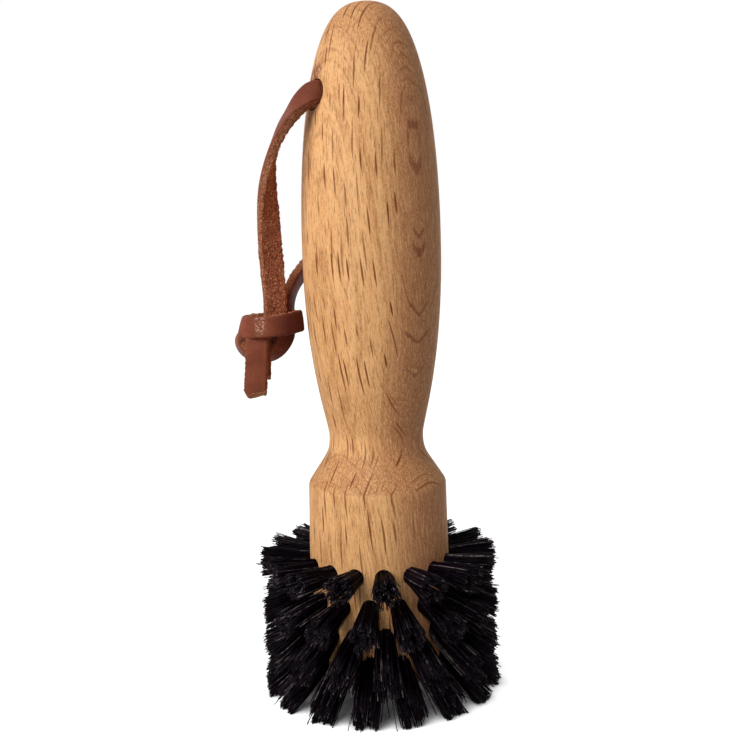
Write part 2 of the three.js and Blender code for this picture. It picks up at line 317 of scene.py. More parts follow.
# Broad tones, and painted shade: darker, redder wood on the side that faces along the rays, away from the
# key light, most of all at the waist
BROAD_SIZE = (6, 4, 26)
WARM_TONES = (0.34, 0.7)
WAIST_BOTTOM = (50, 58)
WAIST_SHADE = (70, 95, 0.09, 0.0)
SHADE_FACING = (0.74, 1.0, 0.9)
NEARLY_UPRIGHT = 1.02
END_GRAIN = (0.1, 0.5, 0.68)

# Growth rings
STRIPE_SIZE = (5, 0.75, 80)
STRIPES = (0.45, 0.65, 0.55)
RING_PITCH = 4.6
RING_SPACING_SIZE = (9, 1, 1)
LATE_WOOD_POWER = 6.0
LATE_WOOD_SHARE = 0.2
RING_LINE = (0.92, 0.98)
RING_LINE_SHARE = (0.3, 0.7, 0.28, 0.08)
ARCS_PER_RING = 2.0
ARC_START = 0.35
ARC_LINE = (0.86, 0.95)
ARC_SHARE = (0.12, 0.4, 0.0, 0.65)

# Streaks, pores and grit
STREAK_SIZE = (0.34, 0.34, 4.5)
DARK_STREAKS = (0.52, 0.7, 0.6)
PALE_STREAKS = (0.5, 0.32, 0.55)
PORE_SIZE = (0.2, 0.2, 1.2)
PORES = (0.57, 0.68)
PORE_SHARE = 0.5
GRIT_SIZE = (0.36, 0.36, 0.55)
PALE_GRIT = (0.36, 0.6, 0.34, 0.0)
DENT_DEPTH = 0.5
BEECH_ROUGHNESS = (0.3, 0.7, 0.55, 0.7)

# Ray flecks: their pitch and their half size, across and along the grain
BOLD_FLECKS = (2.3, 12.0), (0.25, 4.3)
FINE_FLECKS = (1.0, 4.6), (0.14, 1.5)
FINE_SHARE = 0.5
FLECK_SCATTER = 0.95
FLECK_LENGTHS = (0.45, 1.45)
FLECK_EDGE = (0.0, 0.25)
FLECK_GAP_SIZE = (3, 14, 9)
FLECK_GAPS = (0.3, 0.42)
FLECK_DARKNESS = (0.6, 1.0)
FLAT_RAYS = (0.86, 0.99)
FLAT_DARKNESS = (1.0, 0.45)
NEARLY_FLAT = 1.04

# Ray flakes up the right front: height, inner and outer half width, half thickness, rise of
# their arms and darkness
RAY_FLAKES = (
    (160.6, 0, 5.5, 0.25, -0.7, 0.5), (157.0, 0, 2.4, 0.3, -0.5, 0.5), (154.0, 0, 2.0, 0.3, -0.5, 0.5),
    (151.0, 0, 2.4, 0.35, -0.6, 0.5), (148.4, 0, 2.2, 0.35, -0.5, 0.45), (143.2, 0, 1.2, 0.6, 0.6, 0.4),
    (137.6, 0, 1.9, 1.1, 0.0, 0.75), (134.4, 1.5, 2.4, 2.0, 0.0, 0.65), (126.7, 0, 2.2, 1.4, 1.6, 0.65),
    (111.6, 0, 2.0, 0.6, 1.3, 0.65), (107.8, 0, 2.2, 1.0, 1.3, 0.75), (97.4, 1.2, 2.6, 0.6, 1.5, 0.45),
    (93.4, 0, 3.2, 0.45, 1.2, 0.7), (87.2, 0, 4.4, 0.45, 0.75, 0.7), (79.0, 0, 3.4, 0.4, 0.9, 0.5),
)
FLAKE_SWAY = (-0.8, 0.8)
FLAKE_POINT_ROUND = 0.16
FLAKE_RAGGED_SIZE = (0.4, 0.9, 1)
FLAKE_RAGGED = (-1.1, 1.1)
FLAKE_EDGE = (1.5, 0.4)
FLAKE_END = (1.1, 0.7)
FLAKE_INNER_END = (0.8, 1.2)
FLAKE_FRONT = (0.0, 2.0)

# Torn fibres above the bore
TORN_REACH = (8.4, 5.6)
TORN_OUTWARD = (4.0, 8.0)
TORN_RISE = (1.5, 3.0)
TORN_BESIDE = (3.0, 0.6)
TORN_SLANT = 0.6
TORN_FIBRE_SIZE = (0.6, 0.3, 2.4)
TORN_FIBRES = (0.39, 0.5)


def wood_directions(nodes, ray_direction):
    """Places along the wood's rays, across its rings and along its grain, and how they sway."""
    ring_direction = (math.sin(RING_AZIMUTH), -math.cos(RING_AZIMUTH), -GRAIN_LEAN)
    rays = nodes.along(ray_direction)
    rings = nodes.along(ring_direction)
    grain = nodes.along((-GRAIN_LEAN, 0, 1))
    sway = nodes.noise((rays, rings, grain), SWAY_SIZE)
    rays = nodes.plus(rays, nodes.spread(sway, *RAY_SWAY))
    rings = nodes.plus(rings, nodes.spread(sway, *RING_SWAY))
    return (rays, rings, grain), sway


def painted_shade_red(nodes, grain, facing, upward):
    """How much painted shade, darker and redder, lies on the wood that faces along its rays, away from the
    key light, as if it faced level.
    """
    level = nodes.root(nodes.minus(NEARLY_UPRIGHT, nodes.square(upward)))
    waist = nodes.times(nodes.step(grain, *WAIST_BOTTOM), nodes.range(grain, *WAIST_SHADE))
    return nodes.step(nodes.plus(nodes.math("DIVIDE", facing, level), waist), *SHADE_FACING)


def growth_rings(nodes, color, wood, broad, upward):
    """A colour with the wood's stripes, its rings, and the rings' arcs on slopes."""
    stripe = nodes.noise(wood, STRIPE_SIZE, detail=2)
    color = nodes.mix(nodes.step(stripe, *STRIPES), color, BEECH_RING)
    spacing = nodes.noise((wood[1], 0.0, 0.0), RING_SPACING_SIZE, detail=1)
    count = nodes.plus(nodes.math("DIVIDE", wood[1], RING_PITCH), spacing)
    ring = nodes.math("FRACT", count)
    late = nodes.times(nodes.math("POWER", ring, LATE_WOOD_POWER), LATE_WOOD_SHARE)
    line = nodes.times(nodes.step(ring, *RING_LINE), nodes.range(broad, *RING_LINE_SHARE))
    color = nodes.mix(nodes.plus(late, line), color, BEECH_RING)
    arc = nodes.math("FRACT", nodes.plus(nodes.times(count, ARCS_PER_RING), ARC_START))
    arc = nodes.times(nodes.step(arc, *ARC_LINE), nodes.range(upward, *ARC_SHARE))
    return nodes.mix(arc, color, BEECH_FLAKE)


def ray_flecks(nodes, wood, slant, pitch, half):
    """Thin upright lenses where the wood's rays meet the surface: their darkness, 0 beside them. The
    slant of the rays to the surface keeps them as thin where the rays lie nearly flat."""
    rays, rings, grain = wood
    place = nodes.scaled((rays, grain, 0.0), (*pitch, 1.0))
    cell = nodes.cells(place, "2D", randomness=FLECK_SCATTER)
    inputs = {0: place, 1: cell.outputs["Position"]}
    offset = nodes.node("VectorMath", inputs, operation="SUBTRACT").outputs[0]
    offset = nodes.node("SeparateXYZ", {0: offset})
    chance = nodes.node("SeparateColor", {0: cell.outputs["Color"]})
    across = nodes.times(nodes.size(offset.outputs[0]), pitch[0] / half[0])
    across = nodes.math("DIVIDE", across, slant)
    upright = nodes.times(offset.outputs[1], pitch[1] / half[1])
    upright = nodes.math("DIVIDE", upright, nodes.spread(chance.outputs[0], *FLECK_LENGTHS))
    inside = nodes.minus(nodes.minus(1.0, nodes.square(nodes.size(upright))), across)
    broken = nodes.noise((rays, grain, rings), FLECK_GAP_SIZE)
    darkness = nodes.spread(chance.outputs[1], *FLECK_DARKNESS)
    return nodes.times(nodes.step(inside, *FLECK_EDGE), nodes.step(broken, *FLECK_GAPS), darkness)


def ray_flakes(nodes, sway):
    """Brown patches and chevrons where rays lie nearly flat in the surface: how dark they are."""
    side = nodes.along((math.cos(FLAKE_AZIMUTH), math.sin(FLAKE_AZIMUTH), 0))
    side = nodes.plus(side, nodes.spread(sway, *FLAKE_SWAY))
    side = nodes.root(nodes.plus(nodes.square(side), FLAKE_POINT_ROUND))
    outward = nodes.along((math.sin(FLAKE_AZIMUTH), -math.cos(FLAKE_AZIMUTH), 0))
    height = nodes.along(UP)
    edge = nodes.noise((side, height, 0.0), FLAKE_RAGGED_SIZE, detail=3)
    height = nodes.plus(height, nodes.spread(edge, *FLAKE_RAGGED))
    darkness = 0.0
    for middle, inner, outer, thick, rise, share in RAY_FLAKES:
        bow = nodes.minus(height, nodes.times(side, rise))
        away = nodes.size(nodes.minus(bow, middle))
        flake = nodes.step(away, *(thick * part for part in FLAKE_EDGE))
        flake = nodes.times(flake, nodes.step(side, *(outer * part for part in FLAKE_END)))
        if inner:
            flake = nodes.times(flake, nodes.step(side, *(inner * part for part in FLAKE_INNER_END)))
        darkness = nodes.math("MAXIMUM", darkness, nodes.times(flake, share))
    return nodes.times(darkness, nodes.step(outward, *FLAKE_FRONT))


def torn_wood(nodes):
    """1 on the fibres torn out above the front mouth of the strap's bore, 0 elsewhere."""
    angle = math.radians(BORE_ANGLE)
    outward = nodes.along((-math.sin(angle), -math.cos(angle), 0))
    beside = nodes.along((math.cos(angle), -math.sin(angle), 0))
    rise = nodes.minus(nodes.along(UP), bore_height)
    reach = nodes.root(nodes.plus(nodes.square(beside), nodes.square(rise)))
    slant = nodes.plus(beside, nodes.times(rise, TORN_SLANT))
    fibre = nodes.noise((outward, slant, rise), TORN_FIBRE_SIZE, detail=3, roughness=0.6)
    return nodes.times(
        nodes.step(reach, *TORN_REACH), nodes.step(outward, *TORN_OUTWARD), nodes.step(rise, *TORN_RISE),
        nodes.step(beside, *TORN_BESIDE), nodes.step(fibre, *TORN_FIBRES),
    )


def beech():
    nodes = new_material("beech")
    ray_direction = (math.sin(RAY_AZIMUTH), -math.cos(RAY_AZIMUTH), GRAIN_LEAN)
    wood, sway = wood_directions(nodes, ray_direction)
    normal = nodes.node("TexCoord").outputs["Normal"]
    facing = nodes.dot(normal, ray_direction)
    upward = nodes.size(nodes.node("SeparateXYZ", {0: normal}).outputs[2])

    broad = nodes.noise(wood, BROAD_SIZE, detail=3)
    color = nodes.mix(nodes.step(broad, *WARM_TONES), BEECH_LIGHT, BEECH_WARM)
    # Painted shade on the side turned from the key light, darker and redder
    color = nodes.mix(painted_shade_red(nodes, wood[2], facing, upward), color, BEECH_SHADE_RED)
    color = nodes.mix(nodes.step(upward, *END_GRAIN), color, BEECH_END)
    color = growth_rings(nodes, color, wood, broad, upward)

    streak = nodes.noise(wood, STREAK_SIZE, detail=3, roughness=0.6)
    color = nodes.mix(nodes.step(streak, *DARK_STREAKS), color, BEECH_RING)
    color = nodes.mix(nodes.step(streak, *PALE_STREAKS), color, BEECH_PALE)
    pore = nodes.step(nodes.noise(wood, PORE_SIZE, detail=1), *PORES)
    color = nodes.mix(nodes.times(pore, PORE_SHARE), color, BEECH_RING)
    grit = nodes.noise(wood, GRIT_SIZE, detail=2)
    color = nodes.mix(nodes.range(grit, *PALE_GRIT), color, BEECH_PALE)
    color = nodes.mix(torn_wood(nodes), color, BEECH_TORN)

    flat = nodes.size(facing)
    darkness = nodes.spread(nodes.step(flat, *FLAT_RAYS), *FLAT_DARKNESS)
    slant = nodes.root(nodes.minus(NEARLY_FLAT, nodes.square(flat)))
    bold = ray_flecks(nodes, wood, slant, *BOLD_FLECKS)
    fine = ray_flecks(nodes, wood, slant, *FINE_FLECKS)
    color = nodes.mix(nodes.times(fine, darkness, FINE_SHARE), color, BEECH_FLECK)
    color = nodes.mix(nodes.times(bold, darkness), color, BEECH_FLECK)
    color = nodes.mix(ray_flakes(nodes, sway), color, BEECH_FLAKE)

    dents = nodes.times(nodes.plus(nodes.plus(pore, streak), bold), DENT_DEPTH)
    relief = nodes.bump(nodes.minus(1.0, dents), strength=0.6, distance=0.08)
    rough = nodes.range(streak, *BEECH_ROUGHNESS)
    return nodes.finish(Base_Color=color, Roughness=rough, Specular_IOR_Level=0.25, Normal=relief)


# The top stops are pale: painted glints for a share of the strands
BRISTLE_TONES = (
    (0.0, (0.0012, 0.0003, 0.0014, 1)),
    (0.7, (0.0055, 0.0022, 0.0056, 1)),
    (0.86, (0.017, 0.011, 0.016, 1)),
    (0.96, (0.07, 0.056, 0.064, 1)),
    (1.0, (0.17, 0.14, 0.13, 1)),
)
BRISTLE_MOTTLE = (0.3, 0.7, -0.1, 0.1)
BRISTLE_ROUGHNESS = (0.3, 0.7, 0.36, 0.5)
CUT_END_DARK = (0.008, 0.004, 0.008, 1)
# Pale stipple of the cut ends: partly their own paler tone, partly painted glints
CUT_END_PALE_GLINT = (0.055, 0.043, 0.052, 1)
CUT_END_MOTTLE = (0.35, 0.65)


def ramp(nodes, factor, stops):
    node = nodes.node("ValToRGB", {0: factor})
    while len(node.color_ramp.elements) < len(stops):
        node.color_ramp.elements.new(1.0)
    for element, (position, color) in zip(node.color_ramp.elements, stops):
        element.position = position
        element.color = color
    return node.outputs[0]


def bristle():
    nodes = new_material("bristle")
    tone = nodes.node("Attribute", attribute_name="tone").outputs["Fac"]
    mottle = nodes.noise(nodes.place(), scale=900.0, detail=1)
    tone = nodes.plus(tone, nodes.range(mottle, *BRISTLE_MOTTLE))
    color = ramp(nodes, tone, BRISTLE_TONES)
    rough = nodes.range(mottle, *BRISTLE_ROUGHNESS)
    return nodes.finish(Base_Color=color, Roughness=rough, Specular_IOR_Level=0.05)


def bristle_cut():
    nodes = new_material("bristle_cut_end")
    mottle = nodes.noise(nodes.place(), scale=2500.0, detail=1)
    # Stipple of the cut ends, partly painted glints
    color = nodes.mix(nodes.step(mottle, *CUT_END_MOTTLE), CUT_END_DARK, CUT_END_PALE_GLINT)
    return nodes.finish(Base_Color=color, Roughness=0.6, Specular_IOR_Level=0.1)


# Leather: its grain side, and its flesh side, edges and cut ends of fibres
GRAIN_BROWN = (0.262, 0.073, 0.037, 1)
GRAIN_DARK = (0.135, 0.036, 0.022, 1)
# Painted highlight: pale specks on the pebbles of the band's front bend
GRAIN_PAINTED_GLINT = (0.62, 0.36, 0.26, 1)
# Painted shade for the knot band's right side, turned from the key light
GRAIN_PAINTED_SHADE = (0.085, 0.018, 0.013, 1)
FLESH_BROWN = (0.41, 0.13, 0.064, 1)
FLESH_DARK = (0.13, 0.036, 0.019, 1)
FLESH_PALE = (0.66, 0.34, 0.19, 1)
EDGE_BROWN = (0.34, 0.13, 0.065, 1)
EDGE_DARK = (0.17, 0.055, 0.028, 1)
# Cut ends: their paler fibre colour lifted further as painted light, where the lamps barely reach the bevel
CUT_PALE_AND_PAINTED_LIGHT = (0.6, 0.25, 0.13, 1)
DARK_CLOUDS = (0.35, 0.75, 0.6)
CREASES = (0.45, 0.8, 0.25)
GRAIN_ROUGHNESS = (0.3, 0.7, 0.4, 0.52)
FIBRE_TONES = (0.38, 0.52)
PALE_FIBRES = (0.54, 0.66, 0.9)
DARK_PATCHES = (0.45, 0.7, 0.3)

# Where the strap is made darker towards its bore, where a painted highlight lies on the knot's band, and
# where painted shade darkens the band's right side
DARKER_TOWARDS_BORE = (bore_height - 14, bore_height - 2, 0.0, 0.5)
HIGHLIGHT_MIDDLE = -27.2
HIGHLIGHT_WIDTH = (1.9, 0.5)
HIGHLIGHT_HEIGHT = (band_height - 2.6, band_height - 2.0)
HIGHLIGHT_FRONT = (-5.0, -5.5)
HIGHLIGHT_PATCHES = (0.42, 0.56)
HIGHLIGHT_STRENGTH = (0.35, 1.0)
HIGHLIGHT_PEBBLES = (0.55, 0.25, 0.1, 1.0)
SHADE_RIGHT = (HIGHLIGHT_MIDDLE + 1.0, HIGHLIGHT_MIDDLE + 7.5, 0.85)
SHADE_HEIGHT = (band_height + 9.0, band_height + 6.0)


def painted_highlight(nodes, place):
    """1 on the painted highlight: pale pebbles where the knot's band bends most at its front, 0 elsewhere.
    """
    across = nodes.size(nodes.minus(nodes.along(RIGHT), HIGHLIGHT_MIDDLE))
    above = nodes.step(nodes.along(UP), *HIGHLIGHT_HEIGHT)
    front = nodes.step(nodes.along(BACK), *HIGHLIGHT_FRONT)
    patchy = nodes.step(nodes.noise(place, scale=1300.0, detail=2), *HIGHLIGHT_PATCHES)
    return nodes.times(
        above, front, nodes.step(across, *HIGHLIGHT_WIDTH), nodes.spread(patchy, *HIGHLIGHT_STRENGTH),
    )


def near_bore(nodes):
    """How much darker the strap is made towards where it comes out of its bore, 0 further down."""
    return nodes.range(nodes.along(UP), *DARKER_TOWARDS_BORE)


def leather_grain():
    nodes = new_material("leather_grain")
    place = nodes.place()
    cloud = nodes.noise(place, scale=260.0, detail=4)
    pebble = nodes.cells(place, "3D", scale=2500.0).outputs["Distance"]
    color = nodes.mix(nodes.step(cloud, *DARK_CLOUDS), GRAIN_BROWN, GRAIN_DARK)
    color = nodes.mix(nodes.step(pebble, *CREASES), color, GRAIN_DARK)
    color = nodes.mix(near_bore(nodes), color, GRAIN_DARK)
    # Painted shade on the band's right side, which turns away from the key light
    shaded = nodes.step(nodes.along(RIGHT), *SHADE_RIGHT)
    shaded = nodes.times(shaded, nodes.step(nodes.along(UP), *SHADE_HEIGHT))
    color = nodes.mix(shaded, color, GRAIN_PAINTED_SHADE)
    # Painted highlight on the band's front bend
    glints = nodes.times(painted_highlight(nodes, place), nodes.range(pebble, *HIGHLIGHT_PEBBLES))
    color = nodes.mix(glints, color, GRAIN_PAINTED_GLINT)
    height = nodes.plus(nodes.minus(1.0, pebble), nodes.noise(place, scale=900.0))
    relief = nodes.bump(height, strength=0.7, distance=0.1)
    rough = nodes.range(cloud, *GRAIN_ROUGHNESS)
    return nodes.finish(Base_Color=color, Roughness=rough, Specular_IOR_Level=0.05, Normal=relief)


def leather_fibres(name, base, dark, pale):
    nodes = new_material(name)
    place = nodes.place()
    clump = nodes.noise(place, scale=2900.0, detail=3, roughness=0.65)
    patch = nodes.noise(place, scale=330.0, detail=2)
    color = nodes.mix(nodes.step(clump, *FIBRE_TONES), dark, base)
    color = nodes.mix(nodes.step(clump, *PALE_FIBRES), color, pale)
    color = nodes.mix(nodes.step(patch, *DARK_PATCHES), color, dark)
    color = nodes.mix(near_bore(nodes), color, dark)
    relief = nodes.bump(clump, strength=0.8, distance=0.12)
    return nodes.finish(Base_Color=color, Roughness=0.95, Specular_IOR_Level=0.03, Normal=relief)


STEEL_DARK = (0.42, 0.42, 0.41, 1)
STEEL_PALE = (0.62, 0.62, 0.6, 1)
STEEL_ROUGHNESS = (0.25, 0.45)
DRAWN_SIZE = (200 * MM, 200 * MM, 4 * MM)


def steel():
    nodes = new_material("anchor_steel")
    place = nodes.node("SeparateXYZ", {0: nodes.place()}).outputs
    drawn = nodes.noise(place, DRAWN_SIZE)
    color = nodes.mix(drawn, STEEL_DARK, STEEL_PALE)
    return nodes.finish(Base_Color=color, Roughness=nodes.spread(drawn, *STEEL_ROUGHNESS), Metallic=1.0)


# Meshes

def unit(vectors):
    return vectors / np.linalg.norm(vectors, axis=1)[:, None]


def linked(name, data, matrix=Matrix()):
    item = bpy.data.objects.new(name, data)
    item.matrix_world = matrix
    bpy.context.scene.collection.objects.link(item)
    return item


def new_object(name, vertices, faces, materials, kinds=None):
    """Object from points in millimetres, faces and the material index of each face."""
    mesh = bpy.data.meshes.new(name)
    mesh.from_pydata((np.asarray(vertices) * MM).tolist(), [], faces)
    for material in materials:
        mesh.materials.append(material)
    if kinds is not None:
        mesh.polygons.foreach_set("material_index", np.asarray(kinds, np.int32))
    mesh.polygons.foreach_set("use_smooth", np.ones(len(mesh.polygons), bool))
    mesh.update()
    return linked(name, mesh)


def ring_faces(rings, sides, closed=False):
    """Faces between rings of points, and from the last ring to the first if closed."""
    faces = []
    for ring in range(rings if closed else rings - 1):
        low, high = ring * sides, (ring + 1) % rings * sides
        for side in range(sides):
            following = (side + 1) % sides
            faces.append((low + side, low + following, high + following, high + side))
    return faces


def turned(outline, sides):
    """Points and faces of an outline of (radius, height) turned about Z; it starts and ends on the axis."""
    angles = np.arange(sides) * 2 * math.pi / sides
    inner = outline[1:-1]
    rings = [np.column_stack((r * np.cos(angles), r * np.sin(angles), np.full(sides, z))) for r, z in inner]
    points = np.vstack([[0, 0, outline[0][1]], *rings, [0, 0, outline[-1][1]]])
    faces = []
    for side in range(sides):
        following = (side + 1) % sides
        faces.append((0, 1 + following, 1 + side))
        for ring in range(len(inner) - 1):
            low = 1 + ring * sides
            faces.append((low + side, low + following, low + sides + following, low + sides + side))
        last = 1 + (len(inner) - 1) * sides
        faces.append((last + side, last + following, len(points) - 1))
    return points, faces


def bezier(points, count):
    """Points along a quadratic or cubic curve."""
    points = np.array(points, float)[:, None]
    share = np.linspace(0, 1, count + 1)[:, None]
    while len(points) > 1:
        points = points[:-1] * (1 - share) + points[1:] * share
    return points[0]


def straight(start, end):
    count = max(1, round(math.dist(start, end) / TURNED_STEP))
    return np.linspace(start, end, count + 1)


# Handle

def head_radius(height):
    share = (height - head_bottom) / (shoulder_height - head_bottom)
    return HEAD_BOTTOM_RADIUS + (SHOULDER_RADIUS - HEAD_BOTTOM_RADIUS) * share


def handle_outline():
    shoulder = np.array((SHOULDER_RADIUS, shoulder_height))
    cone_top = np.array((CONE_TOP_RADIUS, shoulder_height + CONE_HEIGHT))
    cone_line = (cone_top - shoulder) / np.linalg.norm(cone_top - shoulder)
    side_end = shoulder - (0, SHOULDER_ROUND)
    cone_start = shoulder + cone_line * SHOULDER_ROUND
    side_start = (HEAD_BOTTOM_RADIUS, head_bottom + HEAD_EDGE)
    bottom_end = (HEAD_BOTTOM_RADIUS - HEAD_EDGE, head_bottom)
    neck = (NECK_RADIUS, neck_height)
    neck_leads = cone_top + cone_line * CONE_BLEND, (NECK_RADIUS, neck_height - NECK_LEAD)
    belly = (BELLY_RADIUS, belly_height)
    barrel_leads = (NECK_RADIUS, neck_height + BARREL_LEAD), (BELLY_RADIUS, belly_height - BELLY_LEAD)
    rise = np.sin(np.linspace(0, math.pi / 2, CROWN_STEPS + 1))
    crown = np.column_stack((
        BELLY_RADIUS * (1 - rise ** CROWN_POWER) ** CROWN_ROUND,
        belly_height + CROWN_RISE * rise,
    ))
    crown[-1] = (0, top_height)
    stretches = [
        straight((0, head_bottom), bottom_end),
        bezier([bottom_end, (HEAD_BOTTOM_RADIUS, head_bottom), side_start], ROUND_STEPS),
        straight(side_start, side_end),
        bezier([side_end, shoulder, cone_start], ROUND_STEPS),
        straight(cone_start, cone_top),
        bezier([cone_top, *neck_leads, neck], NECK_STEPS),
        bezier([neck, *barrel_leads, belly], BARREL_STEPS),
        crown,
    ]
    return np.vstack([stretches[0], *(stretch[1:] for stretch in stretches[1:])])


def outward_frame(degrees, dip, radius, height):
    """Place and directions of a hole: its middle at the surface, to its side, below it and out of it."""
    angle = math.radians(degrees)
    out = np.array((math.sin(angle), -math.cos(angle), 0))
    axis = out * math.cos(dip) - np.array((0, 0, math.sin(dip)))
    side = np.array((out[1], -out[0], 0))
    return out * radius + (0, 0, height), side, np.cross(axis, side), axis


def row_lie(row):
    """How far a row's holes dip, their height at the surface and the head's radius there."""
    height = first_row_height - ROW_PITCH * row
    return math.radians(FAN_STEP * row), height, head_radius(height)


def row_frames(row):
    dip, height, radius = row_lie(row)
    pitch = 360 / TUFTS_PER_ROW
    start = FIRST_TUFT_ANGLE - (row % 2) * pitch / 2
    return [outward_frame(start + pitch * tuft, dip, radius, height) for tuft in range(TUFTS_PER_ROW)]


def hole_cutters():
    """Points and faces of the tools that bore the tuft holes and the strap's hole, with eased mouths."""
    mouth = [(HOLE_RADIUS + wider, height) for wider, height in HOLE_MOUTH]
    tuft_outline = [(0, -HOLE_DEPTH), (HOLE_RADIUS, -HOLE_DEPTH), *mouth, (0, mouth[-1][1])]
    bore_half = [(BORE_RADIUS + wider, reach) for wider, reach in BORE_MOUTH]
    bore_outline = [(r, -z) for r, z in reversed(bore_half)] + bore_half
    bore_outline = [(0, -BELLY_RADIUS), *bore_outline, (0, BELLY_RADIUS)]
    jobs = [(tuft_outline, HOLE_SIDES, place) for row in range(ROW_COUNT) for place in row_frames(row)]
    jobs.append((bore_outline, BORE_SIDES, outward_frame(-BORE_ANGLE, 0, 0, bore_height)))
    points, faces, count = [], [], 0
    for outline, sides, (middle, side, below, axis) in jobs:
        local, local_faces = turned(outline, sides)
        points.append(middle + local @ np.array((side, below, axis)))
        faces.extend(tuple(count + corner for corner in face) for face in local_faces)
        count += len(local)
    return np.vstack(points), faces


def handle(wood):
    item = new_object("turned_handle", *turned(handle_outline(), TURNED_SIDES), [wood])
    cutter = new_object("cutter", *hole_cutters(), [wood])
    cut = item.modifiers.new("cut", "BOOLEAN")
    cut.operation = "DIFFERENCE"
    cut.solver = "EXACT"
    cut.object = cutter
    plain = item.data
    item.data = bpy.data.meshes.new_from_object(item.evaluated_get(bpy.context.evaluated_depsgraph_get()))
    item.modifiers.clear()
    bpy.data.meshes.remove(plain)
    bpy.data.objects.remove(cutter)
    item.data.set_sharp_from_angle(angle=math.radians(38))
    return item


# Bristles

def tuft_ends(row):
    """Feet and tips of one tuft's strands across its axis, the clump of each, and which go astray."""
    count = STRANDS_PER_TUFT
    angle = rng.uniform(0, 2 * math.pi, count)
    reach = ROW_ROOT_RADIUS[row] * np.sqrt(rng.uniform(0, 1, count))
    foot = np.column_stack((reach * np.cos(angle), reach * np.sin(angle)))
    lean = rng.normal(0, TUFT_LEAN, 2) + (0, ROW_DROOP[row])
    seeds = foot[rng.choice(count, CLUMPS_PER_TUFT, replace=False)]
    clump = np.linalg.norm(foot[:, None] - seeds, axis=2).argmin(axis=1)
    drawn = foot + CLUMP_DRAW * (seeds[clump] - foot)
    tip = drawn * (SPREAD_RADIUS / ROW_ROOT_RADIUS[row]) + lean + rng.normal(0, TIP_SCATTER, (count, 2))
    tip += rng.normal(0, TIP_SCATTER, (CLUMPS_PER_TUFT, 2))[clump]
    stray = rng.uniform(0, 1, count) < STRAY_SHARE
    tip[stray] += rng.normal(0, STRAY_SCATTER, (stray.sum(), 2))
    return foot, tip, clump, stray


def tuft_trim(clump, stray):
    """How far from the handle's axis each strand of a tuft is cut."""
    count = len(clump)
    trim = TRIM_RADIUS + rng.normal(0, TUFT_TRIM_SCATTER) + rng.normal(0, TRIM_SCATTER, count)
    trim += rng.normal(0, TRIM_SCATTER, CLUMPS_PER_TUFT)[clump]
    trim -= (rng.uniform(0, 1, count) < SHORT_SHARE) * rng.uniform(*SHORT_BY, count)
    trim[stray] += rng.uniform(0, STRAY_EXTRA, stray.sum())
    return trim


def strand_tones(clump, stray):
    count = len(clump)
    tone = rng.uniform(*DARK_TONES, count) + CLUMP_TONE_SCATTER * rng.normal(size=CLUMPS_PER_TUFT)[clump]
    tone[stray] += STRAY_TONE
    # Painted glints: pale tones on a share of the strands
    glinting = rng.uniform(0, 1, count) < PAINTED_GLINT_SHARE
    tone[glinting] = rng.uniform(*PAINTED_GLINT_TONES, glinting.sum())
    return np.clip(tone, 0, 1)


def tuft_strands(place, row):
    """Centre lines of one tuft's strands, from inside the hole to the trimmed tip, and their tones."""
    middle, side, below, axis = place
    across = np.array((side, below))
    dip, _, radius = row_lie(row)
    foot, tip, clump, stray = tuft_ends(row)
    trim = tuft_trim(clump, stray)
    length = (trim - radius + tip[:, 1] * math.sin(dip)) / math.cos(dip)
    end_height = middle[2] + tip[:, 1] * below[2] + length * axis[2]
    start_height = middle[2] + foot[:, 1] * below[2]
    drop = np.maximum(start_height - end_height, 1e-6)
    above_floor = np.where(end_height < 0, start_height / drop, 1.0)
    bend = rng.normal(0, STRAND_BEND, foot.shape)
    rings = [middle + foot @ across - STRAND_SUNK * axis]
    for share in STRAND_RINGS:
        share = share * above_floor
        offset = foot + (tip - foot) * share[:, None] ** ROW_SPREAD_POWER[row]
        offset = offset + bend * np.sin(math.pi * share)[:, None]
        rings.append(middle + offset @ across + (share * length)[:, None] * axis)
    return np.stack(rings, axis=1), strand_tones(clump, stray)


def strand_skin(lines):
    """Points and faces of thin closed rods along centre lines of equal ring count, and how many faces
    each rod has; the last of them is its cut."""
    count, rings, _ = lines.shape
    direction = unit(lines[:, -1] - lines[:, 0])
    first = unit(np.cross(direction, rng.normal(size=(count, 3))))
    second = np.cross(direction, first)
    angles = np.arange(STRAND_SIDES) * 2 * math.pi / STRAND_SIDES
    taper = np.linspace(1, STRAND_TIP_THICKNESS, rings)
    radii = STRAND_RADIUS * rng.uniform(*STRAND_THICKNESS, count)[:, None] * taper
    spokes = first[:, None] * np.cos(angles)[:, None] + second[:, None] * np.sin(angles)[:, None]
    points = lines[:, :, None] + spokes[:, None] * radii[:, :, None, None]
    points[..., 2] = np.maximum(points[..., 2], 0.0)
    size = rings * STRAND_SIDES
    root, cut = (0, *range(STRAND_SIDES - 1, 0, -1)), tuple(range(size - STRAND_SIDES, size))
    local = [root, *ring_faces(rings, STRAND_SIDES), cut]
    faces = [tuple(strand * size + c for c in face) for strand in range(count) for face in local]
    return points.reshape(-1, 3), faces, len(local)


def tuft_row(row, materials):
    made = [tuft_strands(place, row) for place in row_frames(row)]
    lines, tones = (np.concatenate(part) for part in zip(*made))
    points, faces, faces_each = strand_skin(lines)
    face = np.arange(len(faces)) % faces_each
    cut = face == faces_each - 1
    item = new_object(f"tufts_row_{row + 1}", points, faces, materials, cut)
    item.data.polygons.foreach_set("use_smooth", ~(cut | (face == 0)))
    tone = item.data.attributes.new("tone", "FLOAT", "POINT")
    tone.data.foreach_set("value", np.repeat(tones, len(points) // len(lines)).astype(np.float32))
    return item


# Strap: routes from the bore's middle, each point's place and then the direction across

